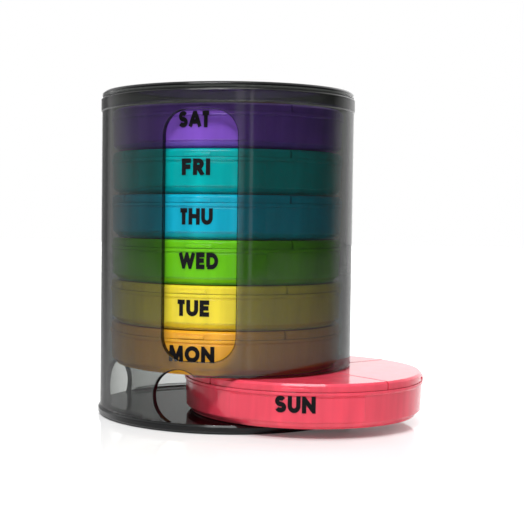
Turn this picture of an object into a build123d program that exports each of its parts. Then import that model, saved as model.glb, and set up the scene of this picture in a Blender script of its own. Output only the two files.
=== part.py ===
"""Weekly pill tower: seven round day trays stacked inside a see-through tower.

Frame: origin at the centre of the base plate's underside, +Z up, the tower's
reading window faces -Y. Sizes are millimetres. The lowest tray is drawn part
of the way out of the dispensing slot, as it stands when it is being used.
"""
from build123d import *
import os
from math import asin, cos, radians, sin, sqrt, tan

# ---- tower ------------------------------------------------------------------
shell_radius = 45.0            # outside of the clear tower
shell_wall = 1.8
stack_play = 0.8               # room between the top tray and the lid
rim_bead = 0.35                # how far the top rim stands proud of the wall
rim_bead_height = 4.6
rim_bevel = 0.6                # top outer edge of the rim
base_lip = 0.7                 # base beyond the wall
base_thickness = 3.0
base_bevel = 0.8               # lower edge; the upper one is as wide as the lip
rib_height = 1.3               # low ribs that centre the tower on its base
rib_width = 1.0
rib_span = 58.0                # degrees of each rib
rib_clear_of_push = 14.0       # degrees from the push hole's middle to a rib
fit_gap = 0.15                 # lid plug and rib inside the wall
lid_setback = 0.1              # lid edge inside the wall's outer face
lid_thickness = 2.0
lid_plug_depth = 3.6
lid_plug_wall = 1.6
lid_bevel = 0.6

# ---- reading window, dispensing slot and push hole ---------------------------
window_width = 25.0
window_height = 82.0
window_drop = 7.0              # from the tower's rim down to the window
window_corner = 8.2
slot_direction = -11.0         # degrees from +X in which a tray is pushed out
slot_play = 0.4                # slot above the base's floor, more than one tray's pitch
slot_overcut = 1.0             # cut below the wall's foot, so that the slot is open there
notch_radius = 9.2             # round ends of the slot, where fingers reach in
notch_rise = 8.4               # centre of the round ends above the floor
notch_offset = 2.1             # centre of the round ends, forward of the tower's axis
cut_reach = 4.0                # the window and round ends are cut this far past both faces
push_radius = 8.8
push_rise = 4.0                # centre of the push hole above the floor

# ---- day trays -----------------------------------------------------------------
tray_play = 1.7                # between the wall and the rim of a tray, its widest part
tray_pitch = 15.0              # from one tray to the next in the stack
seat_gap = 0.25                # running clearance under each tray
foot_inset = 2.5               # plain round boss that stands on the tray below,
foot_height = 0.7              # this far inside the rim and this deep
tray_wall = 1.4
tray_floor = 1.3
tray_draft = 0.3               # the wall leans in by this much towards its foot
rim_proud = 0.35               # rim ring beyond the wall
rim_height = 0.9
tray_bevel = 1.3               # lower edge of the wall
divider_wall = 1.2
label_half_angle = 32.0        # raised plate that carries the day's letters
label_proud = 0.22
label_margin = 0.5             # wall left above and below that plate
day_turns = {                  # how far each tray is turned about the tower's axis
    "sunday": 5.0, "monday": -4.3, "tuesday": -3.6, "wednesday": -1.0,
    "thursday": -2.2, "friday": -2.4, "saturday": -2.4,
}
sunday_pull = 29.8             # how far the lowest tray stands out of the slot

# ---- flip doors, four on each tray ----------------------------------------------
door_thickness = 1.2
door_bevel = 0.7               # upper outer edge
door_skirt = 1.5               # depth of the turned-down edge below the door
door_inset = 0.4               # door edge inside the tray's rim
door_gap = 0.1                 # over the rim
door_spacing = 0.7             # between neighbouring doors
hinge_offset = 9.0             # hinge line from the tray's centre
pin_radius = 0.8
pin_length = 12.0
bore_gap = 0.08                # radial play of a pin in its ear
ear_half = 1.7                 # hinge ear each way from the pin
ear_thickness = 1.8
ear_top_gap = 0.1              # ear under the door's top face
ear_back_gap = 0.3             # ear to the door's back edge
knuckle_radius = 1.5
knuckle_length = 6.8
knuckle_play = 0.3             # end play between knuckle and ears
arm_root = 1.0                 # arm of the knuckle inside the door
arm_drop = 0.2                 # arm below the pin's middle
arm_top_gap = 0.1              # arm under the door's top face
tab_width = 9.0                # finger tab on the door's rim
tab_height = 1.0
tab_root = 0.6                 # tab inside the door's skirt
tab_setback = 0.02             # tab inside the tray's rim
hub_side_gap = 0.4             # hub face to the knuckle

# ---- sizes that follow ------------------------------------------------------------
shell_inner = shell_radius - shell_wall
base_radius = shell_radius + base_lip
lid_radius = shell_radius - lid_setback
lid_bottom = base_thickness + len(day_turns) * tray_pitch + stack_play
shell_top = lid_bottom + lid_plug_depth
window_middle = shell_top - window_drop - window_height / 2
slot_height = tray_pitch + slot_play
tray_radius = shell_inner - tray_play
foot_radius = tray_radius - foot_inset
tray_height = tray_pitch - seat_gap
door_top = tray_height
door_under = door_top - door_thickness
skirt_bottom = door_under - door_skirt
rim_top = skirt_bottom - door_gap
floor_top = foot_height + tray_floor
wall_top_radius = tray_radius - rim_proud
wall_foot_radius = wall_top_radius - tray_draft
wall_inner = wall_foot_radius - tray_wall
door_radius = tray_radius - door_inset
pin_height = door_top - ear_half - ear_top_gap
hub_half = hinge_offset - knuckle_radius - hub_side_gap
door_back = hinge_offset + ear_half + ear_back_gap
lowest_seat = base_thickness + seat_gap


def turned(points, arc=360.0):
    """Solid of revolution of a closed outline of (radius, height) points."""
    outline = Plane.XZ * make_face(Polyline(*points, close=True))
    return revolve(outline, Axis.Z, revolution_arc=arc)


def ring(outer, inner, bottom, top, arc=360.0):
    """Plain ring, or part of one that starts at +X and runs anticlockwise."""
    return turned([(inner, bottom), (outer, bottom), (outer, top), (inner, top)], arc)


def arc_about_front(outer, inner, bottom, top, half_angle):
    """Part ring whose middle faces -Y."""
    return Rot(0, 0, -90 - half_angle) * ring(outer, inner, bottom, top, 2 * half_angle)


def block(x_range, y_range, z_range):
    """Box from its lowest to its highest corner."""
    low = (x_range[0], y_range[0], z_range[0])
    size = (x_range[1] - x_range[0], y_range[1] - y_range[0], z_range[1] - z_range[0])
    return Pos(*low) * Box(*size, align=(Align.MIN, Align.MIN, Align.MIN))


def rod(radius, length, y, z):
    """Round bar along X, centred on the YZ plane."""
    return Pos(0, y, z) * Rot(0, 90, 0) * Cylinder(radius, length)


# ---- the tower ----------------------------------------------------------------------
def make_base():
    plate = turned([
        (0, 0), (base_radius - base_bevel, 0), (base_radius, base_bevel),
        (base_radius, base_thickness - base_lip), (shell_radius, base_thickness), (0, base_thickness),
    ])
    outer = shell_inner - fit_gap
    rib = ring(outer, outer - rib_width, base_thickness, base_thickness + rib_height, rib_span)
    for start in (180 - rib_clear_of_push - rib_span, 180 + rib_clear_of_push):
        plate += Rot(0, 0, slot_direction + start) * rib
    return plate


def make_shell():
    bead = shell_radius + rim_bead
    bead_bottom = shell_top - rim_bead_height
    wall = turned([
        (shell_inner, base_thickness), (shell_radius, base_thickness),
        (shell_radius, bead_bottom - rim_bead), (bead, bead_bottom),
        (bead, shell_top - rim_bevel), (bead - rim_bevel, shell_top), (shell_inner, shell_top),
    ])

    # The window and the round ends of the slot point at the axis, square to the wall.
    half_view = asin(window_width / 2 / shell_radius)
    depths = (shell_inner - cut_reach, shell_radius + cut_reach)
    wall -= Pos(0, 0, window_middle) * loft([
        Plane.XZ.offset(depth) * RectangleRounded(2 * depth * tan(half_view), window_height, window_corner)
        for depth in depths
    ])

    reach = 2 * shell_radius
    floor = base_thickness
    slot = block((notch_offset, reach), (-reach, reach), (floor - slot_overcut, floor + slot_height))
    front_end = Pos(0, 0, floor + notch_rise) * loft([
        Plane.XZ.offset(depth) * Pos(notch_offset * depth / shell_radius, 0)
        * Circle(notch_radius * depth / shell_radius)
        for depth in depths
    ])
    slot += [front_end, mirror(front_end, Plane.XZ)]
    push = Pos(-shell_radius, 0, floor + push_rise) * Rot(0, 90, 0) * Cylinder(push_radius, shell_radius)
    return wall - Rot(0, 0, slot_direction) * (slot + push)


def make_lid():
    plug = shell_inner - fit_gap
    top = shell_top + lid_thickness
    lid = turned([
        (0, shell_top), (plug - lid_plug_wall, shell_top), (plug - lid_plug_wall, lid_bottom),
        (plug, lid_bottom), (plug, shell_top), (lid_radius, shell_top),
        (lid_radius, top - lid_bevel), (lid_radius - lid_bevel, top), (0, top),
    ])
    return lid


# ---- one day tray, standing on z = 0 with its label towards -Y ----------------------------
def make_tray():
    rim_bottom = rim_top - rim_height
    bevel_top = foot_height + tray_bevel
    cup = turned([
        (0, 0), (foot_radius, 0), (foot_radius, foot_height),
        (wall_foot_radius - tray_bevel, foot_height), (wall_foot_radius, bevel_top),
        (wall_top_radius, rim_bottom - rim_proud), (tray_radius, rim_bottom),
        (tray_radius, rim_top), (wall_inner, rim_top), (wall_inner, floor_top), (0, floor_top),
    ])
    cup += arc_about_front(
        wall_top_radius + label_proud, wall_inner + tray_wall / 2,
        bevel_top + label_margin, rim_bottom - rim_proud - label_margin, label_half_angle,
    )

    bar_length = 2 * wall_inner + tray_wall
    for angle in (45, 135):
        bar = block(
            (-bar_length / 2, bar_length / 2), (-divider_wall / 2, divider_wall / 2),
            (floor_top - tray_floor / 2, rim_top),
        )
        cup += Rot(0, 0, angle) * bar
    cup += block((-hub_half, hub_half), (-hub_half, hub_half), (floor_top - tray_floor / 2, rim_top))

    inner_face = knuckle_length / 2 + knuckle_play
    for quarter in range(4):
        for side in (-1, 1):
            middle = side * (inner_face + ear_thickness / 2)
            ear = block(
                (-ear_thickness / 2, ear_thickness / 2),
                (-hinge_offset - ear_half, -hinge_offset + ear_half),
                (floor_top - tray_floor / 2, pin_height + ear_half),
            )
            ear -= rod(pin_radius + bore_gap, 2 * ear_thickness, -hinge_offset, pin_height)
            cup += Rot(0, 0, 90 * quarter) * Pos(middle, 0, 0) * ear
    return cup


# ---- one flip door, closed, over the compartment that faces -Y ------------------------------
def make_door():
    across = 2 * door_radius
    gore = Polyline((0, 0), (-across, -across), (across, -across), close=True)
    gore = Pos(0, -door_spacing / sqrt(2), 0) * extrude(make_face(gore), tray_height)
    disc = turned([
        (0, door_under), (door_radius, door_under), (door_radius, door_top - door_bevel),
        (door_radius - door_bevel, door_top), (0, door_top),
    ])
    disc += ring(door_radius, door_radius - door_thickness, skirt_bottom, door_under)
    panel = disc & gore
    panel -= block((-across, across), (-door_back, 0), (0, 2 * tray_height))

    tab_middle = door_under - door_skirt / 2
    tab = block(
        (-tab_width / 2, tab_width / 2), (-tray_radius, -door_radius + tab_root),
        (tab_middle - tab_height / 2, tab_middle + tab_height / 2),
    )
    tab &= Pos(0, 0, tab_middle) * Cylinder(tray_radius - tab_setback, 2 * tab_height)

    knuckle = rod(knuckle_radius, knuckle_length, -hinge_offset, pin_height)
    arm = block(
        (-knuckle_length / 2, knuckle_length / 2), (-door_back - arm_root, -hinge_offset),
        (pin_height - arm_drop, door_top - arm_top_gap),
    )
    pin = rod(pin_radius, pin_length, -hinge_offset, pin_height)
    return panel + tab + knuckle + arm + pin


def tray_place(day, level):
    """Where a day's tray stands: its level in the stack, its turn, and Sunday's pull."""
    pull = sunday_pull if day == "sunday" else 0.0
    x = pull * cos(radians(slot_direction))
    y = pull * sin(radians(slot_direction))
    return Pos(x, y, lowest_seat + level * tray_pitch) * Rot(0, 0, day_turns[day])


os.makedirs("parts", exist_ok=True)
export_step(make_base(), "parts/base_plate.step")
export_step(make_shell(), "parts/tower_shell.step")
export_step(make_lid(), "parts/tower_lid.step")

tray = make_tray()
door = make_door()
door_names = ["front", "right", "back", "left"]
for level, day in enumerate(day_turns):
    place = tray_place(day, level)
    export_step(place * tray, f"parts/{day}_tray.step")
    for quarter, name in enumerate(door_names):
        export_step(place * Rot(0, 0, 90 * quarter) * door, f"parts/{day}_door_{name}.step")
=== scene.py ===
# Weekly pill tower: seven milky day trays in a smoke-tinted see-through tower.
import bpy
import bmesh
import math
from mathutils import Matrix, Vector


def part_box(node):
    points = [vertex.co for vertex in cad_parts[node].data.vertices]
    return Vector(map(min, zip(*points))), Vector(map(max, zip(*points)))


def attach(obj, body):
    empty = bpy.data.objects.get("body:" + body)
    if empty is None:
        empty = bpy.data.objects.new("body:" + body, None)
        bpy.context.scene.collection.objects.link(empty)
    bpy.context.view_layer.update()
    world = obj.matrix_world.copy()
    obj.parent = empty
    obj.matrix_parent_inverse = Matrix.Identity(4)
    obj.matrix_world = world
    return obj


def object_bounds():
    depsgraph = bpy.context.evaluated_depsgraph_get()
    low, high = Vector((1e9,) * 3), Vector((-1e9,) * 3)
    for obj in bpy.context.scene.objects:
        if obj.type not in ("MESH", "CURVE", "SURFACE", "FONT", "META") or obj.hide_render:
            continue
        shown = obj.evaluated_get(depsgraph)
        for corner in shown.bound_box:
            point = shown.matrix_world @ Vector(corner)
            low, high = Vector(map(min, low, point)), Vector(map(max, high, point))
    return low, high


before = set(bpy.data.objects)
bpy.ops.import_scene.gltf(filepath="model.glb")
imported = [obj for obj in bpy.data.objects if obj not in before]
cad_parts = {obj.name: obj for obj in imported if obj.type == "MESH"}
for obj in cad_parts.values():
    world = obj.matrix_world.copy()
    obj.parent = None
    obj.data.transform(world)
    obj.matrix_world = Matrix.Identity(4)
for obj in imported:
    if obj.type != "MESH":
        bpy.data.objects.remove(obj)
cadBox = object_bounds()
mm = 0.001
white = (1, 1, 1, 1)
days = ["sunday", "monday", "tuesday", "wednesday", "thursday", "friday", "saturday"]
doorNames = ["front", "right", "back", "left"]
print("frame loaded")


def linearColour(hexCode):
    # The sRGB standard's own curve, from its coded values to linear light.
    parts = [int(hexCode[i:i + 2], 16) / 255 for i in (1, 3, 5)]
    return [p / 12.92 if p <= 0.04045 else ((p + 0.055) / 1.055) ** 2.4 for p in parts] + [1.0]


def addNode(tree, kind, settings={}, links={}):
    # settings holds node properties by name and socket values by name or number
    node = tree.nodes.new(kind)
    for key, value in settings.items():
        if isinstance(key, int) or key in node.inputs:
            node.inputs[key].default_value = value
        else:
            setattr(node, key, value)
    for key, source in links.items():
        tree.links.new(source, node.inputs[key])
    return node


def newMaterial(name):
    material = bpy.data.materials.new(name)
    material.use_nodes = True
    material.node_tree.nodes.clear()
    return material, material.node_tree


def dress(node, material):
    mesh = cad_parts[node].data
    mesh.materials.clear()
    mesh.materials.append(material)


# Smoke polystyrene: clear plastic with grey dye, moulded in a polished mould.
smoke = {
    "passed": {"wall": 0.52, "lid": 0.72, "base": 0.50},  # share of the light let through
    "thickness": 1.8 * mm,       # of plastic, for those shares
    "dyeTint": (0.0, 0.03, 0.0, 1),   # the grey lets a little more green through
    "roughness": 0.05,
    "refraction": 1.59,
    "faceOnGloss": 0.045,        # what polished polystyrene mirrors face on
    "grazingGloss": {"wall": 0.42, "lid": 0.60, "base": 0.42},  # more at a grazing angle
    "grazingPower": 5.0,         # how late the mirroring sets in, after Schlick's rule
    "flowWidth": 7.0 * mm,       # flow streaks, long down the wall
    "flowStretch": (1, 1, 0.06),
    "flowDetail": 2.0,
    "flowDepth": 0.010 * mm,
    "flowStrength": 0.6,
    "edgeRound": 0.45 * mm,      # moulded edges are not sharp
    "edgeSamples": 4,
    "lipShadeRange": (0.97, 0.999),   # cosines between which the painted shade on a rounded lip goes from black to clear
    "paintedShadeColour": "#0B0C0D",     # painted shade: black stands in for the light a cut edge traps
    "edgeRoughness": 0.16,
    "edgeSpecular": 0.25,
}

# Where each piece gets painted shade, black on its cut edges: between two heights in mm, on faces
# that turn from the axis by less (comparison LESS_THAN) or more than the slope, a cosine.
paintedShadeEdges = {
    "wall": {"comparison": "LESS_THAN", "slope": 0.8, "low": 3.1, "high": 112.5},
    "lid": {"comparison": "GREATER_THAN", "slope": 0.5, "low": 113.2, "high": 115},
    "base": {"comparison": "GREATER_THAN", "slope": 0.5, "low": -1, "high": 2.95},
}


def smokePolystyrene(part):
    # Sharp reflections and an even grey that deepens wherever the eye looks through
    # more plastic; narrow edges and rounded lips get painted shade, black for the light they trap.
    material, tree = newMaterial("smokePolystyrene" + part.capitalize())
    place = addNode(tree, "ShaderNodeTexCoord")
    stretch = addNode(tree, "ShaderNodeVectorMath", {
        "operation": "MULTIPLY", 1: smoke["flowStretch"],
    }, {0: place.outputs["Object"]})
    flow = addNode(tree, "ShaderNodeTexNoise", {
        "Scale": 1 / smoke["flowWidth"], "Detail": smoke["flowDetail"],
    }, {"Vector": stretch.outputs[0]})
    rounded = addNode(tree, "ShaderNodeBevel", {
        "samples": smoke["edgeSamples"], "Radius": smoke["edgeRound"],
    })
    bump = addNode(tree, "ShaderNodeBump", {
        "Strength": smoke["flowStrength"], "Distance": smoke["flowDepth"],
    }, {"Height": flow.outputs["Fac"], "Normal": rounded.outputs[0]})
    clear = addNode(tree, "ShaderNodeBsdfTransparent", {"Color": white})
    gloss = addNode(tree, "ShaderNodeBsdfGlossy", {
        "Color": white, "Roughness": smoke["roughness"],
    }, {"Normal": bump.outputs[0]})
    slant = addNode(tree, "ShaderNodeLayerWeight", {"Blend": 0.5})
    steep = addNode(tree, "ShaderNodeMath", {
        "operation": "POWER", 1: smoke["grazingPower"],
    }, {0: slant.outputs["Facing"]})
    mirrored = addNode(tree, "ShaderNodeMath", {
        "operation": "MULTIPLY_ADD", 1: smoke["grazingGloss"][part], 2: smoke["faceOnGloss"],
    }, {0: steep.outputs[0]})
    sheet = addNode(tree, "ShaderNodeMixShader", {}, {
        0: mirrored.outputs[0], 1: clear.outputs[0], 2: gloss.outputs[0],
    })

    # Painted shade on edges, which are told from walls by how far the surface turns away from the
    # tower's axis.
    cut = paintedShadeEdges[part]
    outward = addNode(tree, "ShaderNodeVectorMath", {
        "operation": "MULTIPLY", 1: (1, 1, 0),
    }, {0: place.outputs["Object"]})
    outwardUnit = addNode(tree, "ShaderNodeVectorMath", {
        "operation": "NORMALIZE",
    }, {0: outward.outputs[0]})
    facing = addNode(tree, "ShaderNodeVectorMath", {
        "operation": "DOT_PRODUCT",
    }, {0: outwardUnit.outputs[0], 1: place.outputs["Normal"]})
    slope = addNode(tree, "ShaderNodeMath", {
        "operation": "ABSOLUTE",
    }, {0: facing.outputs["Value"]})
    side = addNode(tree, "ShaderNodeMath", {
        "operation": cut["comparison"], 1: cut["slope"],
    }, {0: slope.outputs[0]})
    spot = addNode(tree, "ShaderNodeSeparateXYZ", {}, {0: place.outputs["Object"]})
    above = addNode(tree, "ShaderNodeMath", {
        "operation": "GREATER_THAN", 1: cut["low"] * mm,
    }, {0: spot.outputs["Z"]})
    below = addNode(tree, "ShaderNodeMath", {
        "operation": "LESS_THAN", 1: cut["high"] * mm,
    }, {0: spot.outputs["Z"]})
    within = addNode(tree, "ShaderNodeMath", {
        "operation": "MULTIPLY",
    }, {0: above.outputs[0], 1: below.outputs[0]})
    edgeShadeMask = addNode(tree, "ShaderNodeMath", {
        "operation": "MULTIPLY",
    }, {0: within.outputs[0], 1: side.outputs[0]})

    # Painted shade on rounded lips too, which bend the light away: black where the rounded normal
    # leaves the flat one.
    flat = addNode(tree, "ShaderNodeNewGeometry")
    turned = addNode(tree, "ShaderNodeVectorMath", {
        "operation": "DOT_PRODUCT",
    }, {0: rounded.outputs[0], 1: flat.outputs["Normal"]})
    lipShadeMask = addNode(tree, "ShaderNodeMapRange", {
        "From Min": smoke["lipShadeRange"][0], "From Max": smoke["lipShadeRange"][1],
        "To Min": 1.0, "To Max": 0.0,
    }, {0: turned.outputs["Value"]})
    paintedShadeMask = addNode(tree, "ShaderNodeMath", {
        "operation": "MAXIMUM",
    }, {0: edgeShadeMask.outputs[0], 1: lipShadeMask.outputs[0]})
    # Painted shade: a black glossy surface in place of the clear plastic on edges and lips.
    paintedShadeSurface = addNode(tree, "ShaderNodeBsdfPrincipled", {
        "Base Color": linearColour(smoke["paintedShadeColour"]), "Roughness": smoke["edgeRoughness"],
        "IOR": smoke["refraction"], "Specular IOR Level": smoke["edgeSpecular"],
    }, {"Normal": rounded.outputs[0]})
    surface = addNode(tree, "ShaderNodeMixShader", {}, {
        0: paintedShadeMask.outputs[0], 1: sheet.outputs[0], 2: paintedShadeSurface.outputs[0],
    })
    density = -math.log(smoke["passed"][part]) / smoke["thickness"]
    dye = addNode(tree, "ShaderNodeVolumeAbsorption", {
        "Color": smoke["dyeTint"], "Density": density,
    })
    addNode(tree, "ShaderNodeOutputMaterial", {}, {
        "Surface": surface.outputs[0], "Volume": dye.outputs[0],
    })
    return material


dress("tower_shell", smokePolystyrene("wall"))
dress("tower_lid", smokePolystyrene("lid"))
dress("base_plate", smokePolystyrene("base"))
print("tower done")

# Dyed polypropylene, one colour for each day.
trayPlastic = {
    "saturday": "#7C50BA", "friday": "#00A5A6", "thursday": "#10A6C2", "wednesday": "#66BA14",
    "tuesday": "#E2CE34", "monday": "#E2A228", "sunday": "#E8455C",
    "roughness": 0.12,
    "refraction": 1.49,
    "cloud": 6.0 * mm,           # upright streaks where the milky dye is thick or thin
    "cloudStretch": (1, 1, 0.12),
    "cloudDetail": 3.0,
    "cloudTone": ((0.3, 0.84), (0.7, 1.08)),  # noise value and the dye's brightness there
    "orangePeel": 1.6 * mm,      # faint waviness of the moulded face
    "peelDetail": 1.0,
    "peelDepth": 0.006 * mm,
    "peelStrength": 0.5,
    "edgeRound": 0.28 * mm,
    "edgeSamples": 4,
    "glow": 0.45,                # share of light that soaks through the thin walls
    "glowReach": 2.5 * mm,
    "glowSpread": (1.0, 0.8, 0.7),    # red soaks furthest
}


def milkyPolypropylene(day):
    # Milky and softly shining: light soaks into the thin walls, and the moulded
    # edges carry narrow highlights.
    material, tree = newMaterial(day + "MilkyPolypropylene")
    place = addNode(tree, "ShaderNodeTexCoord")
    stretch = addNode(tree, "ShaderNodeVectorMath", {
        "operation": "MULTIPLY", 1: trayPlastic["cloudStretch"],
    }, {0: place.outputs["Object"]})
    cloud = addNode(tree, "ShaderNodeTexNoise", {
        "Scale": 1 / trayPlastic["cloud"], "Detail": trayPlastic["cloudDetail"],
    }, {"Vector": stretch.outputs[0]})
    peel = addNode(tree, "ShaderNodeTexNoise", {
        "Scale": 1 / trayPlastic["orangePeel"], "Detail": trayPlastic["peelDetail"],
    }, {"Vector": place.outputs["Object"]})
    rounded = addNode(tree, "ShaderNodeBevel", {
        "samples": trayPlastic["edgeSamples"], "Radius": trayPlastic["edgeRound"],
    })
    bump = addNode(tree, "ShaderNodeBump", {
        "Strength": trayPlastic["peelStrength"], "Distance": trayPlastic["peelDepth"],
    }, {"Height": peel.outputs["Fac"], "Normal": rounded.outputs[0]})
    dye = Vector(linearColour(trayPlastic[day])[:3])
    tone = addNode(tree, "ShaderNodeValToRGB", {}, {"Fac": cloud.outputs["Fac"]})
    for step, (position, level) in zip(tone.color_ramp.elements, trayPlastic["cloudTone"]):
        step.position = position
        step.color = [*(dye * level), 1]
    plastic = addNode(tree, "ShaderNodeBsdfPrincipled", {
        "Roughness": trayPlastic["roughness"], "IOR": trayPlastic["refraction"],
        "Subsurface Weight": trayPlastic["glow"], "Subsurface Scale": trayPlastic["glowReach"],
        "Subsurface Radius": trayPlastic["glowSpread"],
    }, {"Base Color": tone.outputs["Color"], "Normal": bump.outputs[0]})
    addNode(tree, "ShaderNodeOutputMaterial", {}, {"Surface": plastic.outputs[0]})
    return material


for day in days:
    dayPlastic = milkyPolypropylene(day)
    dress(day + "_tray", dayPlastic)
    for name in doorNames:
        dress(day + "_door_" + name, dayPlastic)
print("trays done")

# Day names printed on the trays in a plain bold alphabet, drawn from its centre lines.
words = {
    "capHeight": 5.4 * mm,
    "stroke": 1.50 * mm,
    "letterGap": 0.50 * mm,
    "strip": 0.8 * mm,           # letters are cut this narrow to bend round the tray
    "tolerance": 1e-4 * mm,      # the ends of a closed stroke lie this close
    "cutTolerance": 1e-5 * mm,
    "mitreLimit": 0.2,           # a sharp corner reaches out to half a stroke over this at most
    "film": 0.05 * mm,           # ink above the plastic
    "plateRadius": 41.37 * mm,   # label plate of the tray
    "rimRadius": 41.50 * mm,     # rim ring, which a high word runs on to
    "rimBottom": 10.6 * mm,      # above the tray's foot
}

# Each word as the photo has it, in mm: its width, the height of its middle above the
# tray's foot, and the degrees it is turned from the front.
wordPlaces = {
    "sunday": (13.0, 8.2, 4.7),
    "monday": (15.8, 7.2, -4.0),
    "tuesday": (11.1, 7.4, -3.1),
    "wednesday": (13.2, 8.0, -1.0),
    "thursday": (11.1, 7.5, -2.2),
    "friday": (9.6, 8.7, -2.6),
    "saturday": (10.4, 9.2, -3.8),
}


def bow(x, y, rx, ry, start, end, steps=14):
    # Points of an arc, angles in degrees.
    turns = [math.radians(start + (end - start) * i / steps) for i in range(steps + 1)]
    return [(x + rx * math.cos(t), y + ry * math.sin(t)) for t in turns]


# Each letter: its width as a share of its height, then its strokes on a 1 x 1 square.
# Ends that stick out past 0 or 1 are trimmed at the cap height or fill the stroke's width.
alphabet = {
    "A": (0.98, [[(-0.06, -0.14), (0.5, 1.16), (1.06, -0.14)], [(0.2, 0.3), (0.8, 0.3)]]),
    "D": (0.84, [[(0, 0), (0, 1), (0.42, 1)] + bow(0.42, 0.5, 0.58, 0.5, 90, -90)[1:]
                 + [(-0.1, 0)]]),
    "E": (0.56, [[(1.25, 1), (0, 1), (0, 0), (1.25, 0)], [(0, 0.52), (1.15, 0.52)]]),
    "F": (0.54, [[(1.25, 1), (0, 1), (0, -0.2)], [(0, 0.5), (1.15, 0.5)]]),
    "H": (0.76, [[(0, -0.2), (0, 1.2)], [(1, -0.2), (1, 1.2)], [(0, 0.52), (1, 0.52)]]),
    "I": (0.0, [[(0, -0.2), (0, 1.2)]]),
    "M": (1.08, [[(0, -0.2), (0.06, 1.1), (0.5, 0.0), (0.94, 1.1), (1, -0.2)]]),
    "N": (0.84, [[(0, -0.2), (0, 1.0), (1, 0.0), (1, 1.2)]]),
    "O": (1.04, [bow(0.5, 0.5, 0.5, 0.5, 0, 360, 28)]),
    "R": (0.66, [[(0, -0.2), (0, 1), (0.5, 1)] + bow(0.5, 0.74, 0.42, 0.26, 90, -90)[1:]
                 + [(0, 0.48)], [(0.42, 0.48), (1.08, -0.2)]]),
    "S": (0.66, [bow(0.5, 0.75, 0.46, 0.25, 28, 270) + bow(0.5, 0.25, 0.5, 0.25, 90, -156)[1:]]),
    "T": (0.36, [[(-0.5, 1), (1.5, 1)], [(0.5, 1), (0.5, -0.2)]]),
    "U": (0.76, [[(0, 1.2), (0, 0.38)] + bow(0.5, 0.38, 0.5, 0.38, 180, 360)[1:] + [(1, 1.2)]]),
    "W": (1.34, [[(-0.04, 1.16), (0.24, 0.0), (0.5, 0.98), (0.76, 0.0), (1.04, 1.16)]]),
}

ink = {
    "tones": ("#08070A", "#141216"),
    "grain": 0.8 * mm,
    "grainDetail": 2.0,
    "roughness": 0.6,
    "specular": 0.12,
}


def padPrintedInk():
    # Pad-printed black ink: a thin matt film, a little uneven in tone.
    material, tree = newMaterial("padPrintedBlackInk")
    place = addNode(tree, "ShaderNodeTexCoord")
    grain = addNode(tree, "ShaderNodeTexNoise", {
        "Scale": 1 / ink["grain"], "Detail": ink["grainDetail"],
    }, {"Vector": place.outputs["Object"]})
    tone = addNode(tree, "ShaderNodeValToRGB", {}, {"Fac": grain.outputs["Fac"]})
    for step, hexCode in zip(tone.color_ramp.elements, ink["tones"]):
        step.color = linearColour(hexCode)
    film = addNode(tree, "ShaderNodeBsdfPrincipled", {
        "Roughness": ink["roughness"], "Specular IOR Level": ink["specular"],
    }, {"Base Color": tone.outputs["Color"]})
    addNode(tree, "ShaderNodeOutputMaterial", {}, {"Surface": film.outputs[0]})
    return material


def strokeRibbon(form, points):
    # A flat ribbon along a centre line, mitred at its corners.
    line = [Vector(p) for p in points]
    isClosed = (line[0] - line[-1]).length < words["tolerance"]
    rims = []
    for i, spot in enumerate(line):
        before = line[i - 1] if i > 0 else (line[-2] if isClosed else None)
        after = line[i + 1] if i + 1 < len(line) else (line[1] if isClosed else None)
        arms = []
        if before is not None:
            arms.append((spot - before).normalized())
        if after is not None:
            arms.append((after - spot).normalized())
        along = (arms[0] + arms[-1]).normalized()
        across = Vector((-along.y, along.x))
        lean = abs(across.dot(Vector((-arms[0].y, arms[0].x))))
        reach = words["stroke"] / 2 / max(words["mitreLimit"], lean)
        rims.append([form.verts.new((*(spot + across * reach * side), 0)) for side in (-1, 1)])
    for (lowA, highA), (lowB, highB) in zip(rims, rims[1:]):
        form.faces.new((lowA, lowB, highB, highA))


def cutThrough(form, point, normal, clearOuter):
    bmesh.ops.bisect_plane(
        form, geom=form.verts[:] + form.edges[:] + form.faces[:], dist=words["cutTolerance"],
        plane_co=point, plane_no=normal, clear_outer=clearOuter,
    )


def wordMesh(text, width):
    # One word as a flat film, centred, its face towards +Z.
    form = bmesh.new()
    pen = 0.0
    height = words["capHeight"]
    stroke = words["stroke"]
    rise = height - stroke
    for letter in text:
        share, lines = alphabet[letter]
        span = share * rise
        for line in lines:
            strokeRibbon(form, [
                (pen + stroke / 2 + x * span, stroke / 2 + y * rise) for x, y in line
            ])
        pen += span + stroke + words["letterGap"]
    length = pen - words["letterGap"]
    cutThrough(form, (0, 0, 0), (0, -1, 0), True)
    cutThrough(form, (0, height, 0), (0, 1, 0), True)
    for v in form.verts:
        v.co.x = (v.co.x / length - 0.5) * width
        v.co.y -= height / 2
    count = int(width / words["strip"] / 2) + 1
    for i in range(-count, count + 1):
        cutThrough(form, (i * words["strip"], 0, 0), (1, 0, 0), False)
    mesh = bpy.data.meshes.new(text)
    form.to_mesh(mesh)
    form.free()
    return mesh


def addPiece(name, mesh, material, body):
    piece = bpy.data.objects.new(name, mesh)
    bpy.context.collection.objects.link(piece)
    mesh.materials.append(material)
    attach(piece, body)


inkMaterial = padPrintedInk()
for day in days:
    low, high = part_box(day + "_tray")
    centre = Vector(((low[0] + high[0]) / 2, (low[1] + high[1]) / 2, 0))
    width, middle, turn = wordPlaces[day]
    middle *= mm
    mesh = wordMesh(day[:3].upper(), width * mm)
    wordTop = middle + words["capHeight"] / 2
    ground = words["rimRadius"] if wordTop > words["rimBottom"] else words["plateRadius"]
    radius = ground + words["film"]
    for v in mesh.vertices:
        angle = v.co.x / words["plateRadius"] + math.radians(turn)
        height = low[2] + middle + v.co.y
        v.co = centre + Vector((radius * math.sin(angle), -radius * math.cos(angle), height))
    addPiece(day + "_name", mesh, inkMaterial, day)
print("words done")

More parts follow.
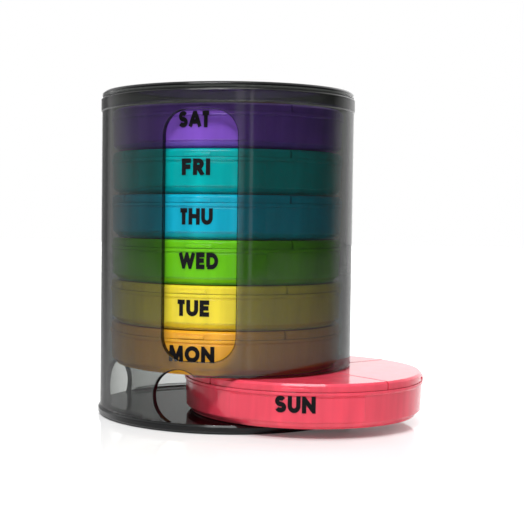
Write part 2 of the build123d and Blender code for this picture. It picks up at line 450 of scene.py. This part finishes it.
# Glossy white table and soft studio light, lengths in m.
studio = {
    "floorColour": "#FAFAFA",
    "floorSize": 3.0,
    "floorFront": 0.8,           # how far the table runs on in front of the tower
    "floorRoughness": (0.048, 0.072),
    "floorRefraction": 2.0,      # lacquer, a little stronger than real to mirror as the photo does
    "floorGrain": 4 * mm,
    "floorDrop": 0.02 * mm,      # keeps the floor's face clear of the base
    "floorFar": (0.16, 0.60),    # distances from the tower, with the light added for the
    "floorLift": (0.08, 0.60),   # camera there, so that the table stays white as far as seen
    "roomByHeading": [           # brightness round the room; 0.5 is the window's side
        (0.00, 1.50), (0.06, 1.30), (0.09, 0.45), (0.14, 0.45), (0.17, 1.40), (0.21, 1.00),
        (0.27, 0.40), (0.34, 0.18), (0.40, 0.10), (0.548, 0.10), (0.556, 0.50), (0.570, 0.50),
        (0.578, 0.10), (0.586, 0.10), (0.589, 0.65), (0.594, 0.65), (0.597, 0.10), (0.66, 0.08),
        (0.83, 0.10), (0.89, 1.20), (0.94, 1.60), (1.00, 1.50),
    ],
    "ceilingRise": (0.35, 0.9),  # sines of elevation over which the room turns into ceiling
    "ceilingLevel": 0.9,
}


def whiteTable():
    # White lacquered board: very smooth, so that it mirrors what stands on it.
    material, tree = newMaterial("whiteLacqueredBoard")
    place = addNode(tree, "ShaderNodeTexCoord")
    dust = addNode(tree, "ShaderNodeTexNoise", {
        "Scale": 1 / studio["floorGrain"],
    }, {"Vector": place.outputs["Object"]})
    rough = addNode(tree, "ShaderNodeMapRange", {
        "To Min": studio["floorRoughness"][0], "To Max": studio["floorRoughness"][1],
    }, {0: dust.outputs["Fac"]})
    board = addNode(tree, "ShaderNodeBsdfPrincipled", {
        "Base Color": linearColour(studio["floorColour"]), "IOR": studio["floorRefraction"],
    }, {"Roughness": rough.outputs[0]})
    path = addNode(tree, "ShaderNodeLightPath")
    point = addNode(tree, "ShaderNodeNewGeometry")
    span = addNode(tree, "ShaderNodeVectorMath", {
        "operation": "LENGTH",
    }, {0: point.outputs["Position"]})
    lift = addNode(tree, "ShaderNodeMapRange", {
        "From Min": studio["floorFar"][0], "From Max": studio["floorFar"][1],
        "To Min": studio["floorLift"][0], "To Max": studio["floorLift"][1],
    }, {0: span.outputs["Value"]})
    seen = addNode(tree, "ShaderNodeMath", {
        "operation": "MULTIPLY",
    }, {0: path.outputs["Is Camera Ray"], 1: lift.outputs[0]})
    glow = addNode(tree, "ShaderNodeEmission", {"Color": white}, {"Strength": seen.outputs[0]})
    surface = addNode(tree, "ShaderNodeAddShader", {}, {0: board.outputs[0], 1: glow.outputs[0]})
    addNode(tree, "ShaderNodeOutputMaterial", {}, {"Surface": surface.outputs[0]})
    return material


floorMesh = bpy.data.meshes.new("table")
half = studio["floorSize"] / 2
corners = [(-half, -half, 0), (half, -half, 0), (half, half, 0), (-half, half, 0)]
floorMesh.from_pydata(corners, [], [(0, 1, 2, 3)])
floorMesh.materials.append(whiteTable())
floor = bpy.data.objects.new("table", floorMesh)
floor.location = (0, half - studio["floorFront"], cadBox[0][2] - studio["floorDrop"])
bpy.context.collection.objects.link(floor)

# The room is dark in front and on the right, but for two narrow strips of light that the
# wall mirrors, and brighter on the left and behind. The camera itself sees plain white.
world = bpy.data.worlds.new("studio")
bpy.context.scene.world = world
world.use_nodes = True
tree = world.node_tree
tree.nodes.clear()
ray = addNode(tree, "ShaderNodeTexCoord")
split = addNode(tree, "ShaderNodeSeparateXYZ", {}, {0: ray.outputs["Generated"]})
towards = addNode(tree, "ShaderNodeMath", {
    "operation": "MULTIPLY", 1: -1.0,
}, {0: split.outputs["Y"]})
heading = addNode(tree, "ShaderNodeMath", {
    "operation": "ARCTAN2",
}, {0: split.outputs["X"], 1: towards.outputs[0]})
turnShare = addNode(tree, "ShaderNodeMath", {
    "operation": "MULTIPLY_ADD", 1: 0.5 / math.pi, 2: 0.5,
}, {0: heading.outputs[0]})
room = addNode(tree, "ShaderNodeValToRGB", {}, {"Fac": turnShare.outputs[0]})
steps = room.color_ramp.elements
while len(steps) < len(studio["roomByHeading"]):
    steps.new(0.5)
# All places come first, because moving a step changes the order.
for step, (position, level) in zip(steps, studio["roomByHeading"]):
    step.position = position
for step, (position, level) in zip(steps, studio["roomByHeading"]):
    step.color = (level, level, level, 1)
ceiling = addNode(tree, "ShaderNodeMapRange", {
    "From Min": studio["ceilingRise"][0], "From Max": studio["ceilingRise"][1],
    "To Min": 0.0, "To Max": 1.0,
}, {0: split.outputs["Z"]})
overhead = addNode(tree, "ShaderNodeMix", {
    "data_type": "FLOAT", 3: studio["ceilingLevel"],
}, {0: ceiling.outputs[0], 2: room.outputs["Color"]})
path = addNode(tree, "ShaderNodeLightPath")
seen = addNode(tree, "ShaderNodeMix", {
    "data_type": "FLOAT", 3: 1.0,
}, {0: path.outputs["Is Camera Ray"], 2: overhead.outputs[0]})
back = addNode(tree, "ShaderNodeBackground", {"Color": white}, {"Strength": seen.outputs[0]})
addNode(tree, "ShaderNodeOutputWorld", {}, {"Surface": back.outputs[0]})

# Softboxes: where each hangs, what it is aimed at, its width and height, and its watts.
softboxes = {
    "keySoftbox": ((-0.1, -0.62, 0.85), (0, 0, 0.05), (0.5, 0.18), 8.5),
    "overheadSoftbox": ((0.06, -0.12, 0.95), (0.03, 0, 0.02), (0.4, 0.2), 2.2),
}
for name, (spot, target, size, power) in softboxes.items():
    lamp = bpy.data.lights.new(name, "AREA")
    lamp.shape = "RECTANGLE"
    lamp.size, lamp.size_y = size
    lamp.energy = power
    holder = bpy.data.objects.new(name, lamp)
    holder.location = spot
    aim = Vector(target) - Vector(spot)
    holder.rotation_euler = aim.to_track_quat("-Z", "Y").to_euler()
    bpy.context.collection.objects.link(holder)

view = {
    "focalPixels": 1162.0,       # focal length in pixels of the 524 x 524 picture
    "picture": 524.0,
    "sensor": 36.0,              # mm
    "distance": 0.4202,          # m from the tower's axis
    "height": 0.0722,            # m above its foot
    "azimuth": 11.63,            # degrees round from the window's side
    "pitchDown": 2.47,
    "turnRight": -2.12,
    "roll": 0.6,
    "shift": 0.151,              # of the picture's width; the photo is cropped off centre
}
camera = bpy.data.cameras.new("camera")
camera.sensor_width = view["sensor"]
camera.lens = view["focalPixels"] / view["picture"] * camera.sensor_width
camera.shift_x = view["shift"]
cameraHolder = bpy.data.objects.new("camera", camera)
bpy.context.collection.objects.link(cameraHolder)
azimuth = math.radians(view["azimuth"])
stand = Vector((math.sin(azimuth), -math.cos(azimuth), 0)) * view["distance"]
stand.z = view["height"]
cameraHolder.matrix_world = (
    Matrix.Translation(stand)
    @ Matrix.Rotation(azimuth - math.radians(view["turnRight"]), 4, "Z")
    @ Matrix.Rotation(math.radians(90 - view["pitchDown"]), 4, "X")
    @ Matrix.Rotation(math.radians(view["roll"]), 4, "Z")
)
bpy.context.scene.camera = cameraHolder
bpy.context.scene.view_settings.view_transform = "Standard"
print("studio done")
